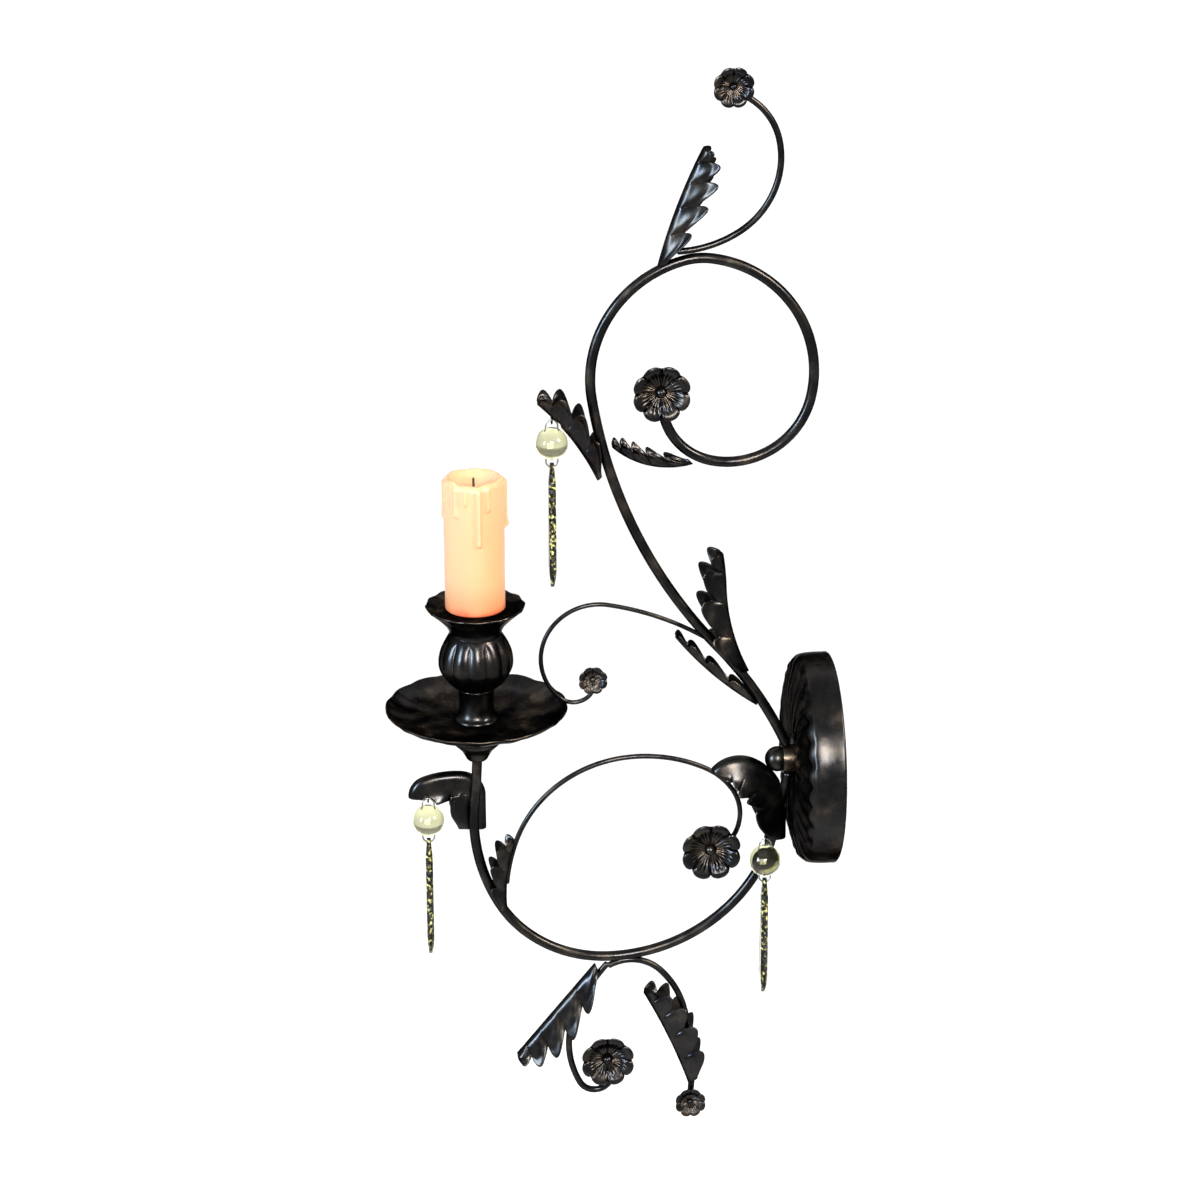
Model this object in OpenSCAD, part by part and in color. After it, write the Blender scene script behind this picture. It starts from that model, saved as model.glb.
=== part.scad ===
// Wall sconce candle holder: a fluted wall plate, two scroll arms with leaves and flowers,
// a melon-bulb candle holder on a drip tray, and three hanging glass pendants.
// The wall is the plane Y = 0, the sconce stands out towards -Y, and Z is up.
// The scrollwork lies in the plane X = 0. All sizes are in millimetres and degrees.

/* [Wall plate] */
// Diameter of the plate where it meets the wall
plate_d = 133; // [120:1:150]
// Depth of the plate's plain outer band
band_depth = 21; // [16:1:26]
// How far the fluted crest stands in front of the band
crest_rise = 5; // [3:0.5:6]
// Number of radial flutes
flutes = 28; // [20:1:36]
// Thickness of the stamped sheet
sheet = 1; // [0.8:0.1:1.4]

/* [Wall fixing] */
// Distance between the two wall screw slots
slot_spacing = 70; // [60:1:80]
// Width of a wall screw slot
slot_w = 5; // [4:0.5:6]
// Length of a wall screw slot
slot_l = 15; // [10:1:18]
// Diameter of the threaded centre stud
stud_d = 6; // [5:1:8]
// Diameter of the ball nut
ball_d = 16; // [14:1:20]

/* [Scroll rods] */
// Diameter of the two main arms
arm_d = 6.4; // [5.5:0.1:7]
// Diameter of the branch at the top
top_branch_d = 4; // [3:0.1:5]
// Diameter of the branch above the drip tray
tray_branch_d = 2.8; // [2:0.1:4]
// Diameter of the branch inside the lower loop
inner_branch_d = 3.2; // [2.4:0.1:4]
// Diameter of the two branches under the lower arm
low_branch_d = 4.2; // [3:0.1:5]

/* [Candle holder] */
// Across corners of the drip tray
tray_d = 115; // [100:1:125]
// Number of corners on the tray's rim
tray_corners = 16; // [12:1:20]
// Largest diameter of the melon bulb
bulb_d = 46.6; // [40:0.2:50]
// Number of lobes on the melon bulb
bulb_lobes = 12; // [8:1:16]
// Across corners of the candle cup
cup_d = 63; // [54:1:70]
// Number of corners on the cup's rim
cup_corners = 14; // [10:1:18]

/* [Candle] */
// Diameter of the candle
candle_d = 38; // [32:1:42]
// Height of the candle
candle_h = 86; // [60:1:110]

/* [Pendants] */
// Diameter of a glass bead
bead_d = 20; // [16:0.5:22]
// Length of a glass drop
drop_l = 80; // [60:1:80]
// Greatest width of a glass drop
drop_w = 15; // [12:0.5:17]
// Thickness of a glass drop
drop_t = 5.2; // [4:0.2:6]

/* [Hidden] */
$fn = 64;

iron = [0.13, 0.12, 0.11];
steel = [0.62, 0.62, 0.6];
wax = [0.96, 0.76, 0.58];
glass = [0.86, 0.85, 0.66, 0.6];
char_black = [0.05, 0.04, 0.04];

// ---------------------------------------------------------------- plane curves
// A curve is a start point [y, z], a heading, and legs of [bend radius, turn]. A positive turn is
// anticlockwise seen from +X. A radius of 0 makes the leg straight, and its turn is then its length.
function leg_length(leg) = leg[0] == 0 ? leg[1] : leg[0] * abs(leg[1]) * PI / 180;
function leg_turn(leg, s) = leg[0] == 0 ? 0 : sign(leg[1]) * s / leg[0] * 180 / PI;
function leg_point(at, heading, leg, s) =
  leg[0] == 0
    ? at + s * [cos(heading), sin(heading)]
    : let (side = sign(leg[1]), turn = leg_turn(leg, s))
      at + side * leg[0] * [sin(heading + turn) - sin(heading), cos(heading) - cos(heading + turn)];

// Place along a curve at the distance s from its start, as [y, z, heading]. Past the end it runs on straight.
function along(at, heading, legs, s, i = 0) =
  i == len(legs)
    ? [at[0] + s * cos(heading), at[1] + s * sin(heading), heading]
    : let (run = leg_length(legs[i]))
      s <= run
        ? concat(leg_point(at, heading, legs[i], s), [heading + leg_turn(legs[i], s)])
        : along(leg_point(at, heading, legs[i], run), heading + leg_turn(legs[i], run), legs, s - run, i + 1);
function curve_length(legs, i = 0) = i == len(legs) ? 0 : leg_length(legs[i]) + curve_length(legs, i + 1);

// ---------------------------------------------------------------- mesh helpers
// Faces of a closed skin over a grid of points: rows of equal length, each row a closed ring.
function ring_faces(rows, cols) = concat(
  [for (i = [0:rows - 2]) for (j = [0:cols - 1]) [i * cols + j, i * cols + (j + 1) % cols, (i + 1) * cols + j]],
  [for (i = [0:rows - 2]) for (j = [0:cols - 1])
    [i * cols + (j + 1) % cols, (i + 1) * cols + (j + 1) % cols, (i + 1) * cols + j]]);

// A solid skinned over rings that run from one end to the other, with flat ends.
module skin(rings) {
  cols = len(rings[0]);
  rows = len(rings);
  first_cap = [for (j = [cols - 1:-1:0]) j];
  last_cap = [for (j = [0:cols - 1]) (rows - 1) * cols + j];
  polyhedron([for (ring = rings) for (p = ring) p], concat(ring_faces(rows, cols), [first_cap], [last_cap]));
}

// A solid skinned over rings where the last ring joins the first again.
module closed_skin(rings) {
  cols = len(rings[0]);
  rows = len(rings);
  polyhedron([for (ring = rings) for (p = ring) p], concat(
    ring_faces(rows, cols),
    [for (j = [0:cols - 1]) [(rows - 1) * cols + j, (rows - 1) * cols + (j + 1) % cols, j]],
    [for (j = [0:cols - 1]) [(rows - 1) * cols + (j + 1) % cols, (j + 1) % cols, j]]));
}

// ---------------------------------------------------------------- scroll rods
// Each rod is [start, heading, legs, diameter].
upper_rod = [[-28, 9.4], 114,
  [[260, 18], [319, -33], [75, -84], [42, -24], [74, -93], [50, -90], [39, -60], [68, -20]], arm_d];
lower_rod = [[-26.6, -9.4], -102, [[0, 42], [98, -17], [107, -62], [80, -60], [120, -35], [349, 6]], arm_d];
top_rod = [[-97, 331.2], 3, [[72, 29], [52, 70], [40, 50], [24, -30]], top_branch_d];
tray_rod = [[-78, 82.5], 147, [[176, 22], [35, 150], [13, 83], [11, 80]], tray_branch_d];
inner_rod = [[-204, -76], 84, [[121, -13], [81, -65], [92, -33], [44, -30], [31, -74], [9, -90]], inner_branch_d];
tail_rod = [[-138, -138.6], 26, [[27, -71], [60, -30], [176, -23]], low_branch_d];
loop_rod = [[-142, -139.6], 230, [[115, 19], [61, 49], [11, 169], [0, 12.5]], low_branch_d];

// Place on a rod at the distance back from its far end.
function rod_place(rod, back) = along(rod[0], rod[1], rod[2], curve_length(rod[2]) - back);

// A round bar along a rod's curve, with rings a distance step apart.
module bent_rod(rod, step, sides) {
  total = curve_length(rod[2]);
  count = ceil(total / step);
  r = rod[3] / 2;
  skin([
    for (i = [0:count])
      let (p = along(rod[0], rod[1], rod[2], total * i / count))
      [for (k = [0:sides - 1])
        let (t = 360 * k / sides)
        [r * sin(t), p[0] - r * cos(t) * sin(p[2]), p[1] + r * cos(t) * cos(p[2])]]
  ]);
}

module upper_arm() { color(iron) bent_rod(upper_rod, 10, 10); }
module lower_arm() { color(iron) bent_rod(lower_rod, 10, 10); }
module top_branch() { color(iron) bent_rod(top_rod, 7, 8); }
module tray_branch() { color(iron) bent_rod(tray_rod, 7, 8); }
module inner_branch() { color(iron) bent_rod(inner_rod, 7, 8); }
module tail_branch() { color(iron) bent_rod(tail_rod, 8, 8); }
module loop_branch() { color(iron) bent_rod(loop_rod, 7, 8); }

// ---------------------------------------------------------------- acanthus leaves
// A leaf is folded sheet: a rounded back follows the spine, and two mirrored halves hang from it.
// Its fields are x, start, heading, legs, side (1 opens to the left of travel), back radius, flare,
// half widths at base, middle and tip, number of lobes, and how far the lobes sweep forward.
crest_leaf_shape = [0, [-110.5, 322], 76, [[360, -12]], -1, 4.2, 20, [9, 18.5, 2.5], 5, 0.5];
ring_leaf_shape = [0, [-146, 189], 115, [[155, 23]], -1, 4.2, 20, [20, 18, 3.5], 4, 0.35];
ring_foot_leaf_shape = [0, [-88.8, 198.2], 195, [[52.5, -57]], -1, 4.2, 10, [6, 10, 3], 4, 0.5];
upper_arm_leaf_shape = [0, [-53, 60], 117, [[135, -25], [180, 7]], 1, 5.6, 18, [13, 21, 5], 4, 0.45];
under_arm_leaf_shape = [0, [-46.7, 37.5], 147, [[212, -19]], -1, 4.2, 6, [6, 7, 3], 4, 0.5];
wall_leaf_shape = [0, [-28, -54.5], 90, [[0, 22.5], [36, 64], [22, 75]], 1, 5, 24, [18, 26, 5], 4, 0.1];
stem_leaf_shape = [-8, [-217, -43], 90, [[0, 23], [16, 84], [55, 26], [13, 72]], 1, 3.8, 8, [24, 20, 12], 4, 0.1];
inner_leaf_shape = [0, [-204.5, -99], 96, [[112, -25]], 1, 4.2, 16, [7, 13, 3], 4, 0.5];
hanging_leaf_shape = [0, [-148, -137.5], 231, [[0, 80]], 1, 4.2, 18, [12, 20.5, 3], 5, 0.5];
tail_leaf_shape = [0, [-87, -227], 109, [[420, 10]], -1, 4.2, 16, [17, 24, 4], 5, 0.3];

// Half width by the fraction u of the leaf's length, through its three given values.
function half_width(w, u) = w[0] * (1 - u) * (1 - 2 * u) + 4 * w[1] * u * (1 - u) + w[2] * u * (2 * u - 1);
// Rows across one lobe: [fraction of the lobe, share of the half width].
lobe_rows = [[0, 0.55], [0.45, 0.88], [0.8, 1]];
// Columns from the spine to the edge, as shares of the half width.
half_columns = [0.3, 0.62, 1];
all_columns = concat([for (i = [2:-1:0]) -half_columns[i]], [0], half_columns);

// Cross-section at the arc distance a from the spine: [sideways, inwards, sideways normal, inwards normal].
function fold(a, back_r, flare) =
  let (far = abs(a), side = a < 0 ? -1 : 1, corner = back_r * (90 - flare) * PI / 180)
  far < corner
    ? let (t = far / back_r * 180 / PI) [side * back_r * sin(t), back_r * (1 - cos(t)), side * sin(t), -cos(t)]
    : let (t = 90 - flare)
      [side * (back_r * sin(t) + (far - corner) * cos(t)), back_r * (1 - cos(t)) + (far - corner) * sin(t),
        side * sin(t), -cos(t)];

// One point of the leaf, offset from the middle of the sheet by lift along its normal.
function leaf_point(shape, row, v, lift) =
  let (
    total = curve_length(shape[3]),
    u = row[0],
    s = total * (1 - pow(1 - u, 1.3)),
    a = v * row[1] * (half_width(shape[7], u) + shape[5] / 2),
    p = along(shape[1], shape[2], shape[3], s),
    q = fold(a, shape[5], shape[6]),
    inward = q[1] + lift * q[3],
    forward = abs(a) * shape[9],
    n = shape[4] * [-sin(p[2]), cos(p[2])],
    t = [cos(p[2]), sin(p[2])]
  )
  [shape[0] + q[0] + lift * q[2], p[0] + inward * n[0] + forward * t[0], p[1] + inward * n[1] + forward * t[1]];

module leaf(shape) {
  lobes = shape[8];
  rows = concat(
    [for (i = [0:lobes - 1]) for (r = lobe_rows) [(i + r[0]) / lobes, i == 0 && r[0] == 0 ? 0.85 : r[1]]],
    [[1, 0.8]]);
  grid = [
    for (row = rows)
      concat(
        [for (v = all_columns) leaf_point(shape, row, v, sheet / 2)],
        [for (i = [len(all_columns) - 1:-1:0]) leaf_point(shape, row, all_columns[i], -sheet / 2)])
  ];
  if (shape[4] < 0) skin(grid);
  else skin([for (i = [len(grid) - 1:-1:0]) grid[i]]);
}

module crest_leaf() { color(iron) leaf(crest_leaf_shape); }
// The pendant's top wire swings in a slot in this leaf's back.
module ring_leaf() {
  color(iron) difference() {
    leaf(ring_leaf_shape);
    translate(ring_hook + [-3, 0.8, -8]) cube([6, bail_r + 1, 10]);
  }
}
module ring_foot_leaf() { color(iron) leaf(ring_foot_leaf_shape); }
module upper_arm_leaf() { color(iron) leaf(upper_arm_leaf_shape); }
module under_arm_leaf() { color(iron) leaf(under_arm_leaf_shape); }
// The lower arm leaves through a round hole in this leaf's back, and its top is notched round the ball nut.
module wall_leaf() {
  color(iron) difference() {
    leaf(wall_leaf_shape);
    translate([0, lower_rod[0][0], lower_rod[0][1]]) rotate([270 - lower_rod[1], 0, 0])
      cylinder(d = arm_d + 2, h = 90, center = true);
    translate([0, -hub_face - 3, 0]) sphere(d = ball_d + 1);
  }
}
// This leaf is trimmed round the bead that hangs from its tip.
module stem_leaf() {
  color(iron) difference() {
    leaf(stem_leaf_shape);
    translate(stem_hook - [0, 0, bead_drop]) rotate([0, 90, 0]) cylinder(d = bead_d + 1.6, h = 60, center = true);
    translate(stem_hook - [30, bail_r + 1.2, bead_drop]) cube([60, 2 * bail_r + 2.4, bead_drop + 1]);
  }
}
module inner_leaf() { color(iron) leaf(inner_leaf_shape); }
module hanging_leaf() { color(iron) leaf(hanging_leaf_shape); }
module tail_leaf() { color(iron) leaf(tail_leaf_shape); }

// ---------------------------------------------------------------- flowers
// A flower is a cupped disc with eight petals that faces +X. Its fields are y, z, the heading of the
// wire there, the flower's radius and the wire's radius.
petals = 8;
function flower_on(rod, radius) = concat(rod_place(rod, rod[3] / 2), [radius, rod[3] / 2]);
top_flower_shape = flower_on(top_rod, 12.5);
ring_flower_shape = flower_on(upper_rod, 18);
tray_flower_shape = flower_on(tray_rod, 9.2);
inner_flower_shape = flower_on(inner_rod, 19.3);
loop_flower_shape = flower_on(loop_rod, 17.5);
tail_flower_shape = flower_on(tail_rod, 10.2);
flower_shapes = [top_flower_shape, ring_flower_shape, tray_flower_shape, inner_flower_shape,
  loop_flower_shape, tail_flower_shape];
petal_rings = [0.16, 0.55, 0.84, 1];
petal_heights = [0.06, 0.1, 0.3, 0.36];
// Share of the radius at the quarter points of a petal, from one notch towards the next.
petal_outline = [0.8, 0.95, 1, 0.95];

function flower_ring(shape, i, lift) = [
  for (k = [0:petals * 4 - 1])
    let (
      t = 360 * (k + 2) / (petals * 4),
      r = shape[3] * petal_rings[i] * (1 + (petal_outline[k % 4] - 1) * petal_rings[i]),
      crease = (k % 2 == 0 ? (k % 4 == 0 ? -1 : 1) : 0) * 0.05 * petal_rings[i]
    )
    [shape[4] + shape[3] * (petal_heights[i] + crease) + lift, shape[0] + r * cos(t), shape[1] + r * sin(t)]
];
module flower(shape) {
  closed_skin(concat(
    [for (i = [0:3]) flower_ring(shape, i, sheet)],
    [for (i = [3:-1:0]) flower_ring(shape, i, 0)]));
}
module top_flower() { color(iron) flower(top_flower_shape); }
module ring_flower() { color(iron) flower(ring_flower_shape); }
module tray_flower() { color(iron) flower(tray_flower_shape); }
module inner_flower() { color(iron) flower(inner_flower_shape); }
module loop_flower() { color(iron) flower(loop_flower_shape); }
module tail_flower() { color(iron) flower(tail_flower_shape); }

// Round-headed rivets: each shank passes the flower's centre hole and ends in the wire behind it.
module flower_rivets() {
  color(iron) for (f = flower_shapes) {
    seat = f[4] + 0.12 * f[3] + sheet;
    translate([f[4] - 0.4, f[0], f[1]]) rotate([0, 90, 0]) cylinder(r = 0.09 * f[3], h = seat - f[4] + 0.6);
    translate([seat, f[0], f[1]]) sphere(r = 0.19 * f[3]);
  }
}

// ---------------------------------------------------------------- wall plate and fixing
// The plate's face by radius share and distance from the wall, from the wall to the centre.
hub_floor = band_depth + 3;
hub_face = hub_floor + 6.5;
plate_face = [
  [1, 0, 0], [0.996, 0.55 * band_depth, 0], [0.98, 0.86 * band_depth, 0], [0.945, band_depth, 0.3],
  [0.9, band_depth + 1.2, 1], [0.76, band_depth + 0.7 * crest_rise, 1], [0.58, band_depth + crest_rise, 1],
  [0.4, band_depth + 0.9 * crest_rise, 0.8], [0.25, band_depth + 3.4, 0.2], [0.2, hub_floor, 0],
  [stud_d / plate_d + 0.01, hub_floor, 0]
];
flute_depth = 1.3;
function plate_ring(i) = [
  for (k = [0:flutes * 4 - 1])
    let (
      p = plate_face[i],
      t = 360 * k / (flutes * 4),
      r = plate_d / 2 * p[0],
      y = p[1] + flute_depth * p[2] * cos(90 * k)
    )
    [r * sin(t), -y, r * cos(t)]
];
// The plain inner skin stays behind the deepest flute.
function plate_inner_ring(i) = [
  for (k = [0:flutes * 4 - 1])
    let (
      p = plate_face[i],
      t = 360 * k / (flutes * 4),
      r = plate_d / 2 * p[0] - (i < 5 ? 1.3 * sheet : 0),
      y = i == 0 ? 0 : p[1] - sheet - flute_depth * p[2]
    )
    [r * sin(t), -y, r * cos(t)]
];
module wall_plate() {
  color(iron) closed_skin(concat(
    [for (i = [0:10]) plate_ring(i)],
    [for (i = [10, 9, 7, 5, 3, 0]) plate_inner_ring(i)]));
}

bar_t = 2.5;
bar_w = 16;
bar_l = 100;
module along_y(from, to) {
  translate([0, -from, 0]) rotate([90, 0, 0]) linear_extrude(to - from) children();
}
module slot_outline() {
  circle(d = slot_w);
  translate([0, slot_l - slot_w]) circle(d = slot_w);
  translate([-slot_w / 2, 0]) square([slot_w, slot_l - slot_w]);
}
// Strap that is screwed to the wall through two slots and carries the stud.
module mounting_bar() {
  color(steel) along_y(0, bar_t) difference() {
    square([bar_w, bar_l], center = true);
    for (side = [-1, 1]) translate([0, side * slot_spacing / 2 - (slot_l - slot_w) / 2]) slot_outline();
    circle(d = stud_d);
  }
}
module plate_stud() {
  color(steel) along_y(0, hub_face + 7) circle(d = stud_d);
}
module lock_nut() {
  color(steel) along_y(bar_t, bar_t + 5) difference() {
    circle(d = 11.5, $fn = 6);
    circle(d = stud_d);
  }
}
// Round boss on the plate that both arms are welded to.
module arm_hub() {
  color(iron) along_y(hub_floor, hub_face) difference() {
    circle(r = 9);
    circle(d = stud_d + 0.4);
  }
}
// Ball with a flat seat and a blind threaded hole.
module ball_nut() {
  color(iron) translate([0, -hub_face, 0]) rotate([90, 0, 0]) rotate_extrude() difference() {
    intersection() {
      translate([0, 3]) circle(d = ball_d);
      square(ball_d);
    }
    square([stud_d / 2, 7.5]);
  }
}

// ---------------------------------------------------------------- candle holder
cup_y = rod_place(lower_rod, 0)[0];
arm_cup_z = rod_place(lower_rod, 0)[1] - 8;
tray_z = arm_cup_z + 26.5;
ferrule_z = tray_z + 1.2;
bulb_z = ferrule_z + 21.3;
cup_z = bulb_z + 35.5;
rim_z = cup_z + 19;
floor_z = rim_z - 2;
bolt_d = 4;
pricket_l = 15;
candle_z = floor_z + 0.2;
wick_d = 1.8;

module on_axis(z) { translate([0, cup_y, z]) children(); }

// Turned cup on the end of the arm. The arm's end is in a socket below, and the bolt screws in above.
module arm_cup() {
  h = tray_z - arm_cup_z;
  color(iron) on_axis(arm_cup_z) difference() {
    rotate_extrude() polygon([[0, 0], [5, 0], [6.8, 1.5], [8, 4], [9.8, 7], [12.6, 10], [14.6, 12],
      [15, 14], [14.6, 16.5], [13.6, 19], [13.2, 22], [14.2, 24], [14.2, h], [0, h]]);
    translate([0, 0, -1]) cylinder(d = arm_d, h = 9);
    translate([0, 0, 10]) cylinder(d = bolt_d, h = h);
  }
}

dish_depth = 8.4;
tray_r = tray_d / 2;
function dish_z(r) = r < 15 ? 0 : dish_depth * pow((r - 15) / (tray_r - 15), 1.5);
module corner_prism(d, corners, h) {
  linear_extrude(h) polygon([for (k = [0:corners - 1]) d / 2 * [cos(360 * (k + 0.5) / corners),
    sin(360 * (k + 0.5) / corners)]]);
}
// Shallow dish that catches the wax, with a many-sided rim.
module drip_tray() {
  stations = [15, 22, 29, 36, 43, 50, tray_r + 0.1];
  color(iron) on_axis(tray_z) intersection() {
    rotate_extrude() polygon(concat(
      [[bolt_d / 2 + 0.2, 0]], [for (r = stations) [r, dish_z(r)]],
      [for (i = [len(stations) - 1:-1:0]) [stations[i], dish_z(stations[i]) + 1.2]], [[bolt_d / 2 + 0.2, 1.2]]));
    translate([0, 0, -1]) corner_prism(tray_d, tray_corners, 20);
  }
}
module ferrule() {
  h = bulb_z - ferrule_z;
  color(iron) on_axis(ferrule_z) rotate_extrude() polygon([[bolt_d / 2 + 0.2, 0], [14.5, 0], [14.2, 1.5],
    [12.4, 3], [11.4, 5.5], [10.8, 9], [10.7, 14], [11, 18], [11.6, h], [bolt_d / 2 + 0.2, h]]);
}
// Fluted bulb: its lobes swell most at the middle and fade to a round top and bottom.
bulb_rings = [[0, 0.42], [0.05, 0.55], [0.14, 0.76], [0.27, 0.93], [0.42, 1], [0.57, 0.99], [0.72, 0.92],
  [0.86, 0.8], [0.95, 0.73], [1, 0.7]];
module melon_bulb() {
  h = cup_z - bulb_z;
  samples = bulb_lobes * 4;
  outer = [
    for (p = bulb_rings)
      [for (k = [0:samples - 1])
        let (
          t = 360 * k / samples,
          swell = 0.07 * sin(180 * p[0]) * (k % 4 == 0 ? -1 : 0),
          r = bulb_d / 2 * (p[1] + swell)
        )
        [r * cos(t), r * sin(t), h * p[0]]]
  ];
  bore = [for (z = [h, 0]) [for (k = [0:samples - 1]) (bolt_d / 2 + 0.2)
    * [cos(360 * k / samples), sin(360 * k / samples), 0] + [0, 0, z]]];
  rings = concat(outer, bore);
  color(iron) on_axis(bulb_z) closed_skin([for (i = [len(rings) - 1:-1:0]) rings[i]]);
}
// Flared cup with a many-cornered rim. The candle stands in its shallow dish.
module candle_cup() {
  color(iron) on_axis(cup_z) difference() {
    intersection() {
      rotate_extrude() polygon([[0, 0], [16.6, 0], [16.4, 1.5], [16.9, 3.6], [18.6, 6.4], [21.4, 9.6], [25, 13],
        [28.6, 16], [32, 18.2], [32, 19], [30.6, 19], [27, 17.6], [22.5, 17], [0, 17]]);
      translate([0, 0, -1]) corner_prism(cup_d, cup_corners, 30);
    }
    translate([0, 0, -1]) cylinder(d = bolt_d, h = 30);
  }
}
// Long bolt that holds the stack together. Its pointed top is the pricket that the candle sits on.
module pricket_bolt() {
  low = arm_cup_z + 12;
  color(steel) on_axis(low) {
    cylinder(d = bolt_d, h = floor_z + pricket_l - 6 - low);
    translate([0, 0, floor_z + pricket_l - 6 - low]) cylinder(d1 = bolt_d, d2 = 0.6, h = 6);
  }
}

// Runs of wax down the candle's side: [angle round the candle, bottom height, thickness].
drips = [[8, 46, 2.2], [92, 52, 3], [182, 50, 2.1], [262, 58, 1.8], [320, 66, 1.6]];
module candle() {
  color(wax) on_axis(candle_z) difference() {
    union() {
      cylinder(d = candle_d, h = candle_h - 3);
      translate([0, 0, candle_h - 3]) cylinder(d1 = candle_d, d2 = candle_d - 3, h = 3);
      for (d = drips) rotate([0, 0, d[0]]) translate([candle_d / 2 - 1, 0, 0]) {
        translate([0, 0, d[1]]) cylinder(r = d[2], h = candle_h - 5 - d[1]);
        translate([0, 0, d[1]]) sphere(r = d[2]);
      }
    }
    translate([0, 0, candle_h - 6]) cylinder(d1 = candle_d - 18, d2 = candle_d - 8, h = 7);
    translate([0, 0, -1]) cylinder(d = bolt_d + 1, h = pricket_l + 3);
    translate([0, 0, candle_h - 9]) cylinder(d = wick_d, h = 9);
  }
}
module wick() {
  color(char_black) on_axis(candle_z + candle_h - 9) cylinder(d = wick_d, h = 11);
}

// ---------------------------------------------------------------- glass pendants
// A pendant hangs from its hook point: the top wire of the bead lies along Y through a small eye,
// and the drop hangs in the same way from the wire under the bead.
wire_d = 1.1;
bail_r = 3.6;
eye_r = 2.2;
bail_h = 4.9;
bead_drop = bead_d / 2 + bail_h;
ring_hook = [0, -174.5, 228.4];
stem_hook = [-4.2, -252.8, -19.6];
wall_hook = [14.5, -42.4, -48.1];
hooks = [ring_hook, stem_hook, wall_hook];

// Wire eyes brazed to the leaves.
module hanging_eyes() {
  color(iron) for (hook = hooks) translate(hook) rotate([90, 0, 0]) rotate_extrude() translate([eye_r, 0])
    circle(d = 1, $fn = 32);
}
// Half ring of wire in the YZ plane, centred bail_r below its top, with two legs that are set in the bead.
module bail(up) {
  leg = bail_h - bail_r + 3.2;
  rotate([up ? 0 : 180, 0, 0]) {
    rotate([90, 0, 90]) rotate_extrude(angle = 180) translate([bail_r, 0]) circle(d = wire_d, $fn = 32);
    for (side = [-1, 1]) translate([0, side * bail_r, -leg]) cylinder(d = wire_d, h = leg);
  }
}
module bead(hook) {
  color(glass) translate(hook - [0, 0, bead_drop]) difference() {
    sphere(d = bead_d);
    for (side = [-1, 1]) for (end = [-1, 1]) translate([0, side * bail_r, end * bead_d / 2])
      cylinder(d = wire_d, h = 6.6, center = true);
  }
}
module bead_wires(hook) {
  offset_z = bead_drop - bail_r;
  color(steel) translate(hook - [0, 0, bead_drop]) {
    translate([0, 0, offset_z]) bail(true);
    translate([0, 0, -offset_z]) bail(false);
  }
}
// Flat drop, widest near its pointed end, with notched edges. Its hole is at the wire.
function drop_half_w(z) = z < 6 ? 2.2 + 0.25 * z : 3.7 + (drop_w / 2 - 3.7) * (z - 6) / (drop_l - 16);
module drop_outline() {
  notches = 11;
  pitch = (drop_l - 18) / notches;
  side = concat(
    [[1.4, 2.4], [2.4, 1]],
    [for (i = [0:notches - 1]) for (q = [0, 0.5]) let (z = 2 + (i + q) * pitch)
      [drop_half_w(z) - (q == 0 ? 0 : 0.7), -z]],
    [[drop_w / 2, 10 - drop_l], [drop_w / 2 - 2.4, 6 - drop_l], [0.5, 2.6 - drop_l]]);
  polygon(concat(side, [for (i = [len(side) - 1:-1:0]) [-side[i][0], side[i][1]]]));
}
module drop_side() {
  polygon([[-1.3, 3], [1.3, 3], [drop_t / 2, -14], [drop_t / 2, 12 - drop_l], [0.8, 2.4 - drop_l],
    [-0.8, 2.4 - drop_l], [-drop_t / 2, 12 - drop_l], [-drop_t / 2, -14]]);
}
module drop(hook) {
  color(glass) translate(hook - [0, 0, 2 * bead_drop]) difference() {
    intersection() {
      rotate([90, 0, 0]) linear_extrude(drop_t + 1, center = true) drop_outline();
      rotate([90, 0, 90]) linear_extrude(drop_w + 1, center = true) drop_side();
    }
    rotate([90, 0, 0]) cylinder(d = 2.6, h = drop_t + 2, center = true);
  }
}
module ring_bead() { bead(ring_hook); }
module ring_bead_wires() { bead_wires(ring_hook); }
module ring_drop() { drop(ring_hook); }
module stem_bead() { bead(stem_hook); }
module stem_bead_wires() { bead_wires(stem_hook); }
module stem_drop() { drop(stem_hook); }
module wall_bead() { bead(wall_hook); }
module wall_bead_wires() { bead_wires(wall_hook); }
module wall_drop() { drop(wall_hook); }

wall_plate();
mounting_bar();
plate_stud();
lock_nut();
arm_hub();
ball_nut();
upper_arm();
lower_arm();
top_branch();
tray_branch();
inner_branch();
tail_branch();
loop_branch();
crest_leaf();
ring_leaf();
ring_foot_leaf();
upper_arm_leaf();
under_arm_leaf();
wall_leaf();
stem_leaf();
inner_leaf();
hanging_leaf();
tail_leaf();
top_flower();
ring_flower();
tray_flower();
inner_flower();
loop_flower();
tail_flower();
flower_rivets();
hanging_eyes();
arm_cup();
drip_tray();
ferrule();
melon_bulb();
candle_cup();
pricket_bolt();
candle();
wick();
ring_bead();
ring_bead_wires();
ring_drop();
stem_bead();
stem_bead_wires();
stem_drop();
wall_bead();
wall_bead_wires();
wall_drop();
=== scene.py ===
"""Looks of the wall sconce candle holder, built round its CAD frame.

The wall is the plane Y = 0, the sconce stands out towards -Y, and Z is up. Shapes are given in
millimetres and degrees, and become metres when a mesh is made.
"""
import math

import bmesh
import bpy
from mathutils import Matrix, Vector, noise


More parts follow.
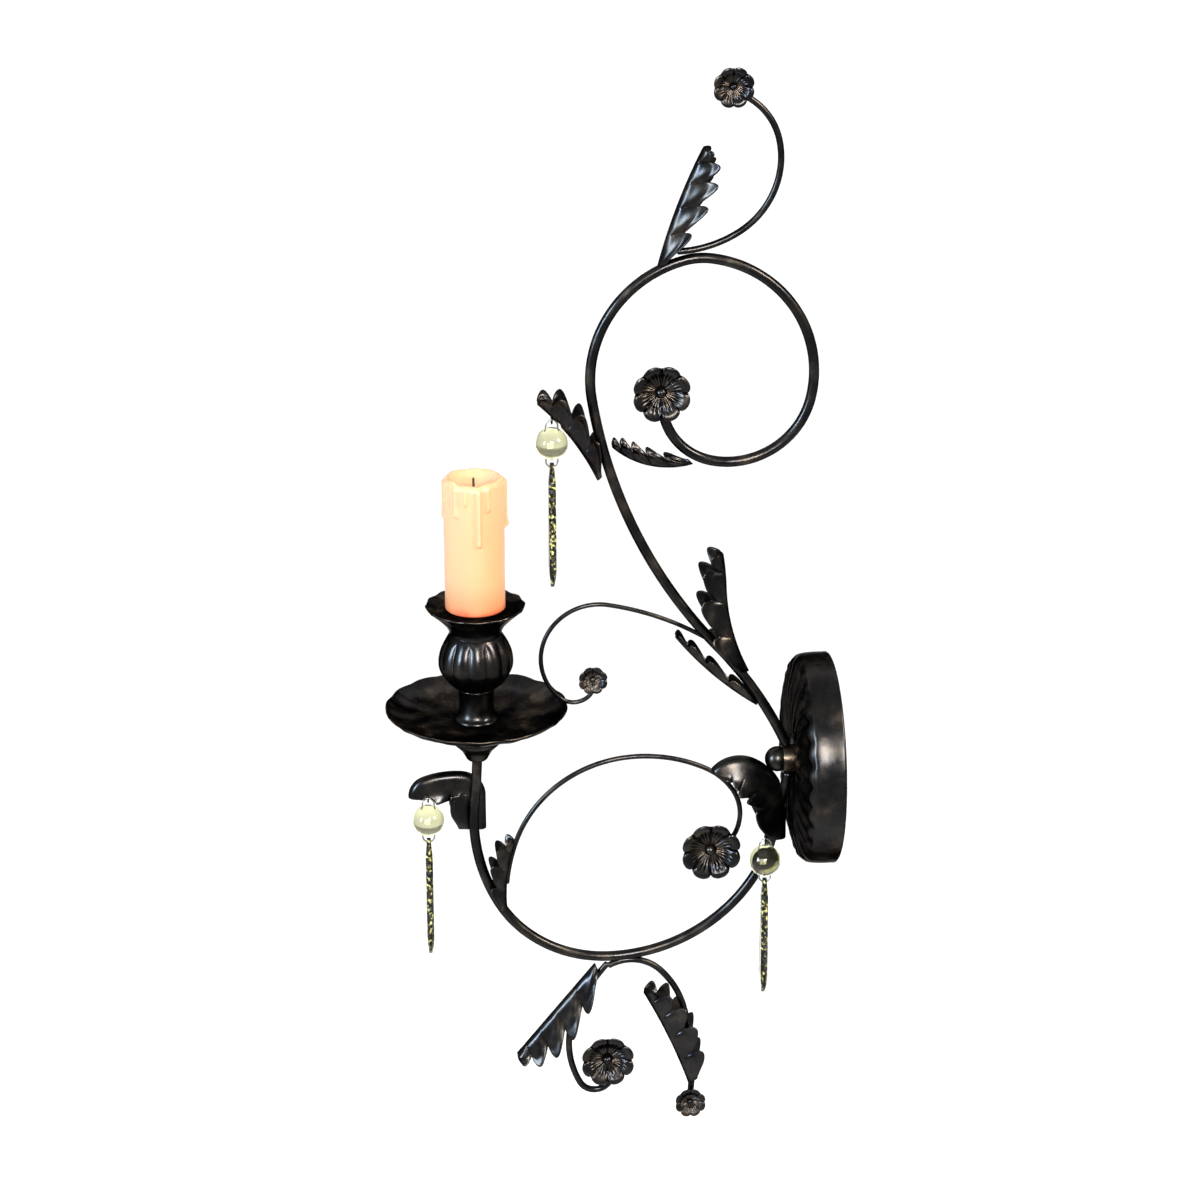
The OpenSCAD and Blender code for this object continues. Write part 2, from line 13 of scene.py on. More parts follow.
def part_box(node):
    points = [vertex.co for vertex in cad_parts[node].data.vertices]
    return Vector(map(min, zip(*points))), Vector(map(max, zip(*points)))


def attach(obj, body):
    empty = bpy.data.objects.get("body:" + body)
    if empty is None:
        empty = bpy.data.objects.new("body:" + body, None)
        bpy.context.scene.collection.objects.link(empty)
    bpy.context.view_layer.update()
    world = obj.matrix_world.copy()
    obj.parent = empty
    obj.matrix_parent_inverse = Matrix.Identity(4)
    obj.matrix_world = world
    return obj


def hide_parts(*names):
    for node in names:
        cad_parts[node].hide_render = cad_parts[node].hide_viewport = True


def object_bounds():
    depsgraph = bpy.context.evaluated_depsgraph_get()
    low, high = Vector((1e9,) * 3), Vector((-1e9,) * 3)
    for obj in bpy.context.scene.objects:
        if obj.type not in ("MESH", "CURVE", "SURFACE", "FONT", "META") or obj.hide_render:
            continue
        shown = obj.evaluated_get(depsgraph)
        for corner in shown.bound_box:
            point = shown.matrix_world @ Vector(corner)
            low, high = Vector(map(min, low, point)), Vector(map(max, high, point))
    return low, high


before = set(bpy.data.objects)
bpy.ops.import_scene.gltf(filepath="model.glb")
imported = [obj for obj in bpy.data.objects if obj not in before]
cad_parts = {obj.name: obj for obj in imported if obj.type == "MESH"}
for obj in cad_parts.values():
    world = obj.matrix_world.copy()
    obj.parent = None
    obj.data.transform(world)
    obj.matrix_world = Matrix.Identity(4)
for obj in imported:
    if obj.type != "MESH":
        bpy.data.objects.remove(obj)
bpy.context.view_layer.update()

MM = 0.001

# ------------------------------------------------------------------ driving dimensions
# Wall plate: its diameter, the depth of its plain band, and the number of its flutes and how far they
# stand past the band.
PLATE_D = 133
BAND_DEPTH = 21
FLUTES = 28
CREST_RISE = 5
# Thickness of the sheet iron.
SHEET = 1
# Diameters of the arms and of their branches.
ARM_D = 6.4
TOP_D = 4
TRAY_BRANCH_D = 2.8
INNER_D = 3.2
LOW_D = 4.2
# How far a branch starts inside its arm, which is the weld.
WELD_DEPTH = 2.4
# Petals of a flower, lobes of the bulb, and corners of the drip tray's and the candle cup's rims.
PETALS = 8
BULB_LOBES = 12
TRAY_CORNERS = 16
CUP_CORNERS = 14
# Radii of the bores for the pricket bolt: close in the two cups, and loose in what they clamp.
BOLT_BORE = 2.1
LOOSE_BORE = 2.3
# The candle's radius and height, without its runs of wax.
CANDLE_R = 18.4
CANDLE_TALL = 84.6
# Radius of the hole near the top of each drop.
DROP_HOLE = 1.3

CANDLE_LOW, CANDLE_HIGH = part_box("candle")

# Each rod is [start (y, z), heading, legs of (bend radius, turn), diameter]. A positive turn is
# anticlockwise seen from +X. A radius of 0 makes the leg straight, and its turn is then its length.
RODS = {
    "upper_arm": [(-28, 9.4), 114, [(260, 18), (319, -33), (75, -84), (42, -24), (74, -93),
                                    (50, -90), (39, -60), (68, -20)], ARM_D],
    "lower_arm": [(-26.6, -9.4), -102, [(0, 42), (98, -17), (107, -62), (80, -60),
                                        (120, -35), (349, 6)], ARM_D],
    "top_branch": [(-97, 331.2), 3, [(72, 29), (52, 70), (40, 50), (24, -30)], TOP_D],
    "tray_branch": [(-78, 82.5), 147, [(176, 22), (35, 150), (13, 83), (11, 80)], TRAY_BRANCH_D],
    "inner_branch": [(-204, -76), 84, [(121, -13), (81, -65), (92, -33), (44, -30), (31, -74),
                                       (9, -90)], INNER_D],
    "tail_branch": [(-138, -138.6), 26, [(27, -71), (60, -30), (176, -23)], LOW_D],
    "loop_branch": [(-142, -139.6), 230, [(115, 19), (61, 49), (11, 169), (0, 12.5)], LOW_D],
}

# Each leaf follows a spine like a rod's, in the plane at "x". "side" is 1 where it opens to the left of
# travel, "back" the radius of its rounded back, "flare" how far its halves splay, and "half" its half
# widths at base, middle and tip. "lobes" is the number of fingers a side, "sweep" how far they lean
# forward, "notch" how deep the edge is cut between them, "ridge" how high they stand, and "lean" how far
# their ends reach towards the leaf's tip. The "plain" share of the width, next to the spine, has no fingers.
LEAVES = {
    "crest_leaf": dict(
        x=0, start=(-110.5, 322), heading=76, legs=[(360, -12)], side=-1, back=4.2, flare=20,
        half=(9, 18.5, 2.5), lobes=5, sweep=0.55, notch=0.42, ridge=1.7, lean=0.12, plain=0.2),
    "ring_leaf": dict(
        x=0, start=(-146, 189), heading=115, legs=[(155, 23)], side=-1, back=4.2, flare=20,
        half=(8, 18, 3.5), lobes=4, sweep=0.45, notch=0.45, ridge=1.9, lean=0.14, plain=0.2),
    "ring_foot_leaf": dict(
        x=0, start=(-88.8, 198.2), heading=195, legs=[(52.5, -57)], side=-1, back=4.2, flare=10,
        half=(6, 10, 3), lobes=5, sweep=0.5, notch=0.4, ridge=1.2, lean=0.12, plain=0.2),
    "upper_arm_leaf": dict(
        x=0, start=(-53, 60), heading=117, legs=[(135, -25), (180, 7)], side=1, back=5.6, flare=18,
        half=(9, 19, 5), lobes=4, sweep=0.45, notch=0.42, ridge=1.9, lean=0.12, plain=0.25),
    "under_arm_leaf": dict(
        x=0, start=(-46.7, 37.5), heading=147, legs=[(212, -19)], side=-1, back=4.2, flare=6,
        half=(6, 7, 3), lobes=4, sweep=0.5, notch=0.4, ridge=1.2, lean=0.12, plain=0.2),
    "wall_leaf": dict(
        x=0, start=(-28, -54.5), heading=90, legs=[(0, 22.5), (36, 64), (22, 75)], side=1, back=5, flare=24,
        half=(18, 26, 5), lobes=5, sweep=0.1, notch=0.16, ridge=0.9, lean=0.06, plain=0.62),
    "stem_leaf": dict(
        x=-8, start=(-217, -43), heading=90, legs=[(0, 23), (16, 84), (55, 26), (13, 72)], side=1, back=3.8,
        flare=8, half=(24, 20, 12), lobes=4, sweep=0.1, notch=0.12, ridge=1.2, lean=0.03, plain=0.55),
    "inner_leaf": dict(
        x=0, start=(-204.5, -99), heading=96, legs=[(112, -25)], side=1, back=4.2, flare=16,
        half=(7, 13, 3), lobes=4, sweep=0.5, notch=0.42, ridge=1.3, lean=0.12, plain=0.2),
    "hanging_leaf": dict(
        x=0, start=(-148, -137.5), heading=231, legs=[(0, 80)], side=1, back=4.2, flare=18,
        half=(12, 20.5, 3), lobes=5, sweep=0.5, notch=0.4, ridge=1.7, lean=0.16, plain=0.2),
    "tail_leaf": dict(
        x=0, start=(-87, -227), heading=109, legs=[(420, 10)], side=-1, back=4.2, flare=16,
        half=(14, 21, 4), lobes=5, sweep=0.35, notch=0.42, ridge=1.7, lean=0.1, plain=0.3),
}

# Each flower is [the rod that carries it, its radius].
FLOWERS = {
    "top_flower": ["top_branch", 12.5],
    "ring_flower": ["upper_arm", 18],
    "tray_flower": ["tray_branch", 9.2],
    "inner_flower": ["inner_branch", 19.3],
    "loop_flower": ["loop_branch", 17.5],
    "tail_flower": ["tail_branch", 10.2],
}


# ------------------------------------------------------------------ node materials
def new_material(name):
    """A node material, its Principled shader and a function that adds and links nodes."""
    material = bpy.data.materials.new(name)
    material.use_nodes = True
    nodes = material.node_tree.nodes
    links = material.node_tree.links
    shader = nodes["Principled BSDF"]

    def add(kind, inputs=None, **settings):
        node = nodes.new(kind)
        for key, value in settings.items():
            setattr(node, key, value)
        for key, value in (inputs or {}).items():
            if isinstance(value, bpy.types.NodeSocket):
                links.new(value, node.inputs[key])
            else:
                node.inputs[key].default_value = value
        return node

    return material, shader, add, links


def ramp(add, source, stops):
    """A colour ramp over source, with stops of (share, colour)."""
    node = add("ShaderNodeValToRGB", {"Fac": source})
    band = node.color_ramp
    while len(band.elements) < len(stops):
        band.elements.new(0.5)
    for element, (share, colour) in zip(band.elements, stops):
        element.position = share
        element.color = (*colour, 1)
    return node.outputs["Color"]


def spread(add, source, low, high, from_low=0.3, from_high=0.7):
    """Source, remapped to run from low to high."""
    return add("ShaderNodeMapRange", {"Value": source, "From Min": from_low, "From Max": from_high,
                                      "To Min": low, "To Max": high}).outputs["Result"]


def iron_material():
    """Glossy black-bronze enamel over hammered iron: mottled, and browner where edges wear."""
    material, shader, add, links = new_material("black_bronze_enamel")
    position = add("ShaderNodeTexCoord").outputs["Object"]
    mottle = add("ShaderNodeTexNoise", {"Vector": position, "Scale": 60, "Detail": 6, "Roughness": 0.6})
    fine = add("ShaderNodeTexNoise", {"Vector": position, "Scale": 420, "Detail": 3})
    wave = add("ShaderNodeTexNoise", {"Vector": position, "Scale": 95, "Detail": 1})
    tone = ramp(add, mottle.outputs["Fac"], [(0.3, (0.017, 0.017, 0.020)), (0.55, (0.030, 0.028, 0.026)),
                                             (0.75, (0.075, 0.062, 0.050))])
    edge = spread(add, add("ShaderNodeNewGeometry").outputs["Pointiness"], 0, 0.55, 0.54, 0.62)
    worn = add("ShaderNodeMix", {"Factor": edge, "A": tone, "B": (0.15, 0.115, 0.085, 1)}, data_type="RGBA")
    links.new(worn.outputs[2], shader.inputs["Base Color"])
    links.new(spread(add, mottle.outputs["Fac"], 0.2, 0.38), shader.inputs["Roughness"])
    shader.inputs["Metallic"].default_value = 1
    shader.inputs["Specular Tint"].default_value = (0.25, 0.24, 0.23, 1)
    low_bump = add("ShaderNodeBump", {"Height": wave.outputs["Fac"], "Strength": 0.22, "Distance": 0.0012})
    bump = add("ShaderNodeBump", {"Height": fine.outputs["Fac"], "Strength": 0.12, "Distance": 0.0003,
                                  "Normal": low_bump.outputs["Normal"]})
    links.new(bump.outputs["Normal"], shader.inputs["Normal"])
    return material


def plated_material(name, colour, roughness):
    """Plated or plain steel with fine scratches."""
    material, shader, add, links = new_material(name)
    position = add("ShaderNodeTexCoord").outputs["Object"]
    grain = add("ShaderNodeTexNoise", {"Vector": position, "Scale": 700, "Detail": 4})
    tone = ramp(add, grain.outputs["Fac"], [(0.3, tuple(0.75 * c for c in colour)), (0.7, colour)])
    links.new(tone, shader.inputs["Base Color"])
    links.new(spread(add, grain.outputs["Fac"], roughness, roughness + 0.18), shader.inputs["Roughness"])
    shader.inputs["Metallic"].default_value = 1
    bump = add("ShaderNodeBump", {"Height": grain.outputs["Fac"], "Strength": 0.2, "Distance": 0.0002})
    links.new(bump.outputs["Normal"], shader.inputs["Normal"])
    return material


def wax_material(base_z, top_z):
    """Cream wax, cloudy and slightly translucent: a little lighter towards its top, with painted shade and a
    painted reddish reflection in its lowest band, where the foot stands in the cup.
    """
    material, shader, add, links = new_material("cream_wax")
    position = add("ShaderNodeTexCoord").outputs["Object"]
    height = add("ShaderNodeSeparateXYZ", {"Vector": position}).outputs["Z"]
    share = add("ShaderNodeMapRange", {"Value": height, "From Min": base_z, "From Max": top_z})
    cloud = add("ShaderNodeTexNoise", {"Vector": position, "Scale": 45, "Detail": 4})
    drift = spread(add, cloud.outputs["Fac"], -0.04, 0.04)
    shifted = add("ShaderNodeMath", {0: share.outputs["Result"], 1: drift})
    # The lowest stops are painted shade with a painted reddish reflection on the foot inside the cup; above
    # them the wax runs a little lighter towards its top.
    tone = ramp(add, shifted.outputs["Value"], [(0, (0.46, 0.08, 0.03)), (0.05, (0.50, 0.20, 0.09)),
                                                (0.25, (0.52, 0.27, 0.135)), (1, (0.54, 0.31, 0.165))])
    links.new(tone, shader.inputs["Base Color"])
    shader.inputs["Subsurface Weight"].default_value = 0.55
    shader.inputs["Subsurface Radius"].default_value = (1.0, 0.45, 0.25)
    shader.inputs["Subsurface Scale"].default_value = 0.006
    links.new(spread(add, cloud.outputs["Fac"], 0.32, 0.5), shader.inputs["Roughness"])
    pits = add("ShaderNodeTexNoise", {"Vector": position, "Scale": 260, "Detail": 3})
    bump = add("ShaderNodeBump", {"Height": pits.outputs["Fac"], "Strength": 0.15, "Distance": 0.0004})
    links.new(bump.outputs["Normal"], shader.inputs["Normal"])
    return material


def wick_material():
    """Charred cotton, twisted."""
    material, shader, add, links = new_material("charred_cotton")
    position = add("ShaderNodeTexCoord").outputs["Object"]
    twist = add("ShaderNodeTexNoise", {"Vector": position, "Scale": 900, "Detail": 3})
    links.new(ramp(add, twist.outputs["Fac"], [(0.35, (0.010, 0.008, 0.008)), (0.7, (0.06, 0.03, 0.02))]),
              shader.inputs["Base Color"])
    shader.inputs["Roughness"].default_value = 0.9
    bump = add("ShaderNodeBump", {"Height": twist.outputs["Fac"], "Strength": 0.6, "Distance": 0.0004})
    links.new(bump.outputs["Normal"], shader.inputs["Normal"])
    return material


def glass_material():
    """Clear, faintly straw-coloured cut glass."""
    material, shader, add, links = new_material("straw_glass")
    position = add("ShaderNodeTexCoord").outputs["Object"]
    ripple = add("ShaderNodeTexNoise", {"Vector": position, "Scale": 70, "Detail": 2})
    shader.inputs["Base Color"].default_value = (0.70, 0.70, 0.43, 1)
    shader.inputs["Transmission Weight"].default_value = 1
    shader.inputs["IOR"].default_value = 1.5
    links.new(spread(add, ripple.outputs["Fac"], 0.0, 0.03), shader.inputs["Roughness"])
    bump = add("ShaderNodeBump", {"Height": ripple.outputs["Fac"], "Strength": 0.05, "Distance": 0.001})
    links.new(bump.outputs["Normal"], shader.inputs["Normal"])
    return material


def painted_edge_shade_material():
    """The drops' notched edges: painted shade, nearly black and opaque, with straw-coloured painted glints
    in place of the light that clear cut glass would refract.
    """
    material, shader, add, links = new_material("cut_edge_painted_shade")
    position = add("ShaderNodeTexCoord").outputs["Object"]
    painted_glint_noise = add("ShaderNodeTexNoise", {"Vector": position, "Scale": 430, "Detail": 2})
    # Painted shade, nearly black, broken by straw-coloured painted glints where the noise runs high.
    tone = ramp(add, painted_glint_noise.outputs["Fac"], [(0.53, (0.004, 0.004, 0.003)), (0.58, (0.11, 0.10, 0.025)),
                                             (0.68, (0.45, 0.43, 0.17))])
    links.new(tone, shader.inputs["Base Color"])
    shader.inputs["Roughness"].default_value = 0.4
    shader.inputs["Specular IOR Level"].default_value = 0.12
    bump = add("ShaderNodeBump", {"Height": painted_glint_noise.outputs["Fac"], "Strength": 0.3, "Distance": 0.0005})
    links.new(bump.outputs["Normal"], shader.inputs["Normal"])
    return material


def floor_material():
    """Plain pale floor."""
    material, shader, add, links = new_material("pale_floor")
    position = add("ShaderNodeTexCoord").outputs["Object"]
    grain = add("ShaderNodeTexNoise", {"Vector": position, "Scale": 3, "Detail": 2})
    links.new(ramp(add, grain.outputs["Fac"], [(0, (0.88, 0.88, 0.88)), (1, (0.9, 0.9, 0.9))]),
              shader.inputs["Base Color"])
    shader.inputs["Roughness"].default_value = 0.9
    return material


IRON = iron_material()
ZINC = plated_material("zinc_plate", (0.55, 0.55, 0.53), 0.3)
WIRE = plated_material("plain_wire", (0.42, 0.41, 0.38), 0.22)
WAX = wax_material(CANDLE_LOW[2], CANDLE_HIGH[2])
WICK = wick_material()
GLASS = glass_material()
# Painted shade with painted glints, for the drops' notched edges.
PAINTED_EDGE_SHADE = painted_edge_shade_material()


# ------------------------------------------------------------------ plane curves
def along(rod, distance):
    """Place on a rod or spine at a distance from its start: (y, z, heading). Past the end it is straight."""
    (y, z), heading, legs = rod[0], math.radians(rod[1]), rod[2]
    for radius, turn in legs:
        length = turn if radius == 0 else radius * math.radians(abs(turn))
        run = min(distance, length)
        if radius == 0:
            y += run * math.cos(heading)
            z += run * math.sin(heading)
        else:
            side = math.copysign(1, turn)
            after = heading + side * run / radius
            y += side * radius * (math.sin(after) - math.sin(heading))
            z += side * radius * (math.cos(heading) - math.cos(after))
            heading = after
        distance -= run
        if distance <= 0:
            return y, z, heading
    return y + distance * math.cos(heading), z + distance * math.sin(heading), heading


def curve_length(rod):
    """Length of a rod or spine along its legs."""
    return sum(turn if radius == 0 else radius * math.radians(abs(turn)) for radius, turn in rod[2])


def smooth(t, low=0.0, high=1.0):
    """Smooth step from 0 at low to 1 at high."""
    t = min(1, max(0, (t - low) / (high - low)))
    return t * t * (3 - 2 * t)


def spline(points, per):
    """Points of a Catmull-Rom curve through the given points, with per points to each of its stretches."""
    head = [tuple(2 * a - b for a, b in zip(points[0], points[1]))]
    tail = [tuple(2 * a - b for a, b in zip(points[-1], points[-2]))]
    full = head + list(points) + tail
    out = []
    for p0, p1, p2, p3 in zip(full, full[1:], full[2:], full[3:]):
        for k in range(per):
            t = k / per
            out.append(tuple(0.5 * (2 * b + (c - a) * t + (2 * a - 5 * b + 4 * c - d) * t * t
                                    + (3 * b - a - 3 * c + d) * t ** 3)
                             for a, b, c, d in zip(p0, p1, p2, p3)))
    return out + [tuple(points[-1])]


def middle(node):
    """Middle of a CAD node's box, in millimetres."""
    low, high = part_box(node)
    return [(a + b) / 2 / MM for a, b in zip(low, high)]


def bead_middle(key):
    """Middle of a pendant's bead, in millimetres."""
    return middle(key + "_bead")


# ------------------------------------------------------------------ mesh helpers
def mesh_object(name, points, faces, material, flat=False):
    """A mesh object from points in millimetres."""
    mesh = bpy.data.meshes.new(name)
    mesh.from_pydata([Vector(p) * MM for p in points], [], faces)
    mesh.validate()
    mesh.materials.append(material)
    obj = bpy.data.objects.new(name, mesh)
    bpy.context.scene.collection.objects.link(obj)
    mesh.polygons.foreach_set("use_smooth", [not flat] * len(mesh.polygons))
    return obj


def grid_faces(rows, columns, wrap_rows=False, wrap_columns=True):
    """Quads over a grid of points stored row by row."""
    last_row = rows if wrap_rows else rows - 1
    last_column = columns if wrap_columns else columns - 1
    faces = []
    for i in range(last_row):
        for j in range(last_column):
            a = i * columns + j
            b = i * columns + (j + 1) % columns
            c = ((i + 1) % rows) * columns + (j + 1) % columns
            d = ((i + 1) % rows) * columns + j
            faces.append((a, b, c, d))
    return faces


def modify(obj, kind, **settings):
    """Adds a modifier with the given settings."""
    modifier = obj.modifiers.new(kind.lower(), kind)
    for key, value in settings.items():
        setattr(modifier, key, value)


def bake(obj):
    """Applies every modifier, merges doubles and turns the faces outwards."""
    graph = bpy.context.evaluated_depsgraph_get()
    mesh = bpy.data.meshes.new_from_object(obj.evaluated_get(graph))
    old = obj.data
    obj.modifiers.clear()
    obj.data = mesh
    bpy.data.meshes.remove(old)
    tidy(obj)


def tidy(obj):
    """Merges doubled points and turns the faces outwards."""
    work = bmesh.new()
    work.from_mesh(obj.data)
    bmesh.ops.remove_doubles(work, verts=work.verts, dist=0.00001)
    bmesh.ops.recalc_face_normals(work, faces=work.faces)
    work.to_mesh(obj.data)
    work.free()


def place(obj, body, node):
    """Rides the piece on its body and the CAD node that it stands for."""
    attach(obj, body)
    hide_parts(node)


def revolve(name, centre, profile, material, samples, shape=None, closed=True):
    """A turned piece about a vertical axis at centre (x, y): profile is (radius, z) from the top or bottom.
    shape(radius, z, angle) may change the radius and z."""
    points = []
    for radius, z in profile:
        for k in range(samples):
            angle = 2 * math.pi * k / samples
            r, h = shape(radius, z, angle) if shape else (radius, z)
            points.append((centre[0] + r * math.cos(angle), centre[1] + r * math.sin(angle), h))
    obj = mesh_object(name, points, grid_faces(len(profile), samples, wrap_rows=closed), material)
    tidy(obj)
    return obj


# ------------------------------------------------------------------ scroll rods
def rod_piece(name, rod):
    """A bent bar with rounded ends and slightly uneven thickness. Branches start inside their arm."""
    total = curve_length(rod)
    radius = rod[3] / 2
    sides = 24
    root_in = 0 if name.endswith("arm") else WELD_DEPTH
    stations = [-root_in, 0.12 * radius - root_in, 0.4 * radius - root_in]
    count = math.ceil(total / 2.5)
    first = 0.7 * radius - root_in
    stations += [first + (total - 0.7 * radius - first) * k / count for k in range(count + 1)]
    stations += [total - 0.4 * radius, total - 0.12 * radius, total]
    points = []
    for index, s in enumerate(stations):
        y, z, heading = along(rod, s)
        from_end = min(index, len(stations) - 1 - index)
        r = radius * [0.72, 0.88, 0.98, 1][min(3, from_end)]
        r *= 0.99 + 0.01 * noise.noise(Vector((0, s * 0.05, radius)))
        for k in range(sides):
            t = 2 * math.pi * k / sides
            points.append((r * math.sin(t), y - r * math.cos(t) * math.sin(heading),
                           z + r * math.cos(t) * math.cos(heading)))
    faces = grid_faces(len(stations), sides)
    last = (len(stations) - 1) * sides
    faces += [tuple(range(sides))[::-1], tuple(range(last, last + sides))]
    obj = mesh_object(name + "_bar", points, faces, IRON)
    tidy(obj)
    place(obj, "root", name)


# ------------------------------------------------------------------ acanthus leaves
def fold(a, back, flare):
    """Cross-section at the arc distance a from the spine: (sideways, inwards, their normal)."""
    far, side = abs(a), math.copysign(1, a)
    turn = math.radians(90 - flare)
    corner = back * turn
    if far < corner:
        t = far / back
        return side * back * math.sin(t), back * (1 - math.cos(t)), side * math.sin(t), -math.cos(t)
    rest = far - corner
    return (side * (back * math.sin(turn) + rest * math.cos(turn)),
            back * (1 - math.cos(turn)) + rest * math.sin(turn), side * math.sin(turn), -math.cos(turn))


def leaf_half_width(leaf, u):
    """Half width at the share u of the leaf's length, drawn in a little at the base and round at the tip."""
    base, belly, tip = leaf["half"]
    width = base * (1 - u) * (1 - 2 * u) + 4 * belly * u * (1 - u) + tip * u * (2 * u - 1)
    width += leaf["back"] / 2
    width *= 0.85 + 0.15 * smooth(u, 0, 0.1)
    return width * math.sqrt(max(0, 1 - (max(0, u - 0.93) / 0.07) ** 2))


def leaf_surface_point(leaf, u, v):
    """One point of the leaf's middle surface, at the share u of its length and v of its half width. The
    fingers are puffed up, and lean and curl towards the tip."""
    spine = [leaf["start"], leaf["heading"], leaf["legs"]]
    total = curve_length(spine)
    s = total * (1 - (1 - u) ** 1.3)
    phase = (u * leaf["lobes"]) % 1
    finger = math.sin(math.pi * phase ** 1.6) ** 0.6
    outline = 1 - leaf["notch"] * (1 - finger)
    a = v * outline * leaf_half_width(leaf, u)
    y, z, heading = along(spine, s)
    sideways, inwards, normal_x, normal_in = fold(a, leaf["back"], leaf["flare"])
    out = smooth(abs(v), leaf["plain"], leaf["plain"] + 0.4)
    puff = leaf["ridge"] * (1.5 * math.sin(math.pi * phase) ** 0.8 - 0.75) * out * (1 - 0.25 * u)
    rib = 0.3 * leaf["ridge"] * math.exp(-(v / 0.08) ** 2) * (1 - u)
    curl = 1.1 * leaf["ridge"] * finger * smooth(abs(v), 0.7, 1.0)
    wobble = 0.3 * noise.noise(Vector((a * 0.12, y * 0.07, z * 0.07))) * out
    lift = puff + rib + curl + wobble
    pitch = total / leaf["lobes"]
    lean = leaf["lean"] * (1 - u * u) * pitch * finger * smooth(abs(v), 0.25, 1.0)
    forward = abs(a) * leaf["sweep"] + lean
    inwards += lift * normal_in
    ty, tz = math.cos(heading), math.sin(heading)
    ny, nz = -leaf["side"] * tz, leaf["side"] * ty
    return (leaf["x"] + sideways + lift * normal_x,
            y + inwards * ny + forward * ty, z + inwards * nz + forward * tz)


def leaf_piece(name, leaf):
    """A pressed leaf: a rounded back along the spine and two rows of raised fingers."""
    rows = 18 * leaf["lobes"]
    half_columns = 16
    points = []
    for i in range(rows + 1):
        for j in range(-half_columns, half_columns + 1):
            points.append(leaf_surface_point(leaf, min(1, i / rows), j / half_columns))
    faces = grid_faces(rows + 1, 2 * half_columns + 1, wrap_columns=False)
    obj = mesh_object(name, points, faces, IRON)
    trim(obj, leaf_holes(name))
    tidy(obj)
    modify(obj, "SOLIDIFY", thickness=SHEET * MM, offset=0, use_even_offset=False)
    modify(obj, "SUBSURF", levels=1, render_levels=1)
    bake(obj)
    place(obj, "root", name)


def leaf_holes(name):
    """Round holes in a leaf as (a point of the axis, the axis, radius), so that its arm passes through and
    its pendant hangs free. A hole without an axis is a ball."""
    if name == "wall_leaf":
        y, z = RODS["lower_arm"][0]
        heading = math.radians(RODS["lower_arm"][1])
        ball_low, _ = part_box("ball_nut")
        ball_y = (ball_low[1] + 8 * MM) / MM
        return [((0, y, z), (0, math.cos(heading), math.sin(heading)), ARM_D / 2 + 1),
                ((0, ball_y, 0), None, 8.7)]
    if name == "ring_leaf":
        x, y, z = bead_middle("ring")
        return [((x, y + 3.2, z + 8), None, 3.2), ((x, y + 3.2, z + 12), None, 3.2)]
    if name == "stem_leaf":
        x, y, z = bead_middle("stem")
        return [((x, y, z), (1, 0, 0), 10.8), ((x, y, z + 11), (1, 0, 0), 5)]
    return []


def trim(obj, holes):
    """Opens round holes in a thin surface. Points just inside a hole move out to its rim."""
    for centre, axis, radius in holes:
        work = bmesh.new()
        work.from_mesh(obj.data)
        middle_point = Vector(centre) * MM
        reach = radius * MM
        inside = {}
        for vertex in work.verts:
            offset = vertex.co - middle_point
            if axis:
                offset -= offset.dot(Vector(axis)) * Vector(axis)
            if offset.length < reach:
                inside[vertex] = offset
        doomed = [face for face in work.faces if all(vertex in inside for vertex in face.verts)]
        for vertex, offset in inside.items():
            vertex.co += offset.normalized() * (reach - offset.length)
        bmesh.ops.delete(work, geom=doomed, context="FACES")
        work.to_mesh(obj.data)
        work.free()


def cut(obj, cutter):
    """Cuts a closed cutter out of obj, then removes it."""
    modify(obj, "BOOLEAN", operation="DIFFERENCE", object=cutter, solver="EXACT")
    bake(obj)
    bpy.data.objects.remove(cutter)


def bar_cutter(start, end, radius, sides):
    """A closed round bar between two points."""
    axis = (Vector(end) - Vector(start)).normalized()
    across = axis.orthogonal().normalized()
    other = axis.cross(across)
    points = [Vector(p) + radius * (math.cos(2 * math.pi * k / sides) * across
                                    + math.sin(2 * math.pi * k / sides) * other)
              for p in (start, end) for k in range(sides)]
    faces = grid_faces(2, sides) + [tuple(range(sides))[::-1], tuple(range(sides, 2 * sides))]
    obj = mesh_object("cutter", points, faces, IRON)
    tidy(obj)
    return obj


# ------------------------------------------------------------------ flowers
def flower_piece(name, rod_name, radius):
    """A cupped flower of ribbed petals with a rolled rim. It faces +X, on its wire's end."""
    rod = RODS[rod_name]
    cy, cz, _ = along(rod, curve_length(rod) - rod[3] / 2)
    base_x = rod[3] / 2 + SHEET / 2
    rings = 26
    samples = PETALS * 24
    points = []
    for i in range(rings + 1):
        share = 0.1 + 0.9 * i / rings
        for k in range(samples):
            angle = 2 * math.pi * k / samples
            petal = (k / samples * PETALS) % 1
            across = abs(2 * petal - 1)
            r = radius * 0.985 * share * (1 - 0.13 * share ** 2 * across ** 2.6)
            dish = 0.03 + 0.18 * share + 0.10 * smooth(share, 0.45, 0.85) - 0.04 * smooth(share, 0.9, 1)
            groove = -0.09 * smooth(share, 0.12, 0.3) * math.exp(-((1 - across) / 0.12) ** 2)
            fade = smooth(share, 0.12, 0.25) * (1 - smooth(share, 0.55, 0.8))
            rib = 0.03 * math.cos(8 * math.pi * petal) * fade
            crown = 0.06 * smooth(share, 0.55, 0.9) * (1 - across ** 2)
            x = base_x + radius * (dish + groove + rib + crown)
            points.append((max(x, base_x), cy + r * math.sin(angle), cz + r * math.cos(angle)))
    obj = mesh_object(name + "_pressed", points, grid_faces(rings + 1, samples), IRON)
    tidy(obj)
    modify(obj, "SOLIDIFY", thickness=SHEET * MM, offset=0)
    bake(obj)
    place(obj, "root", name)


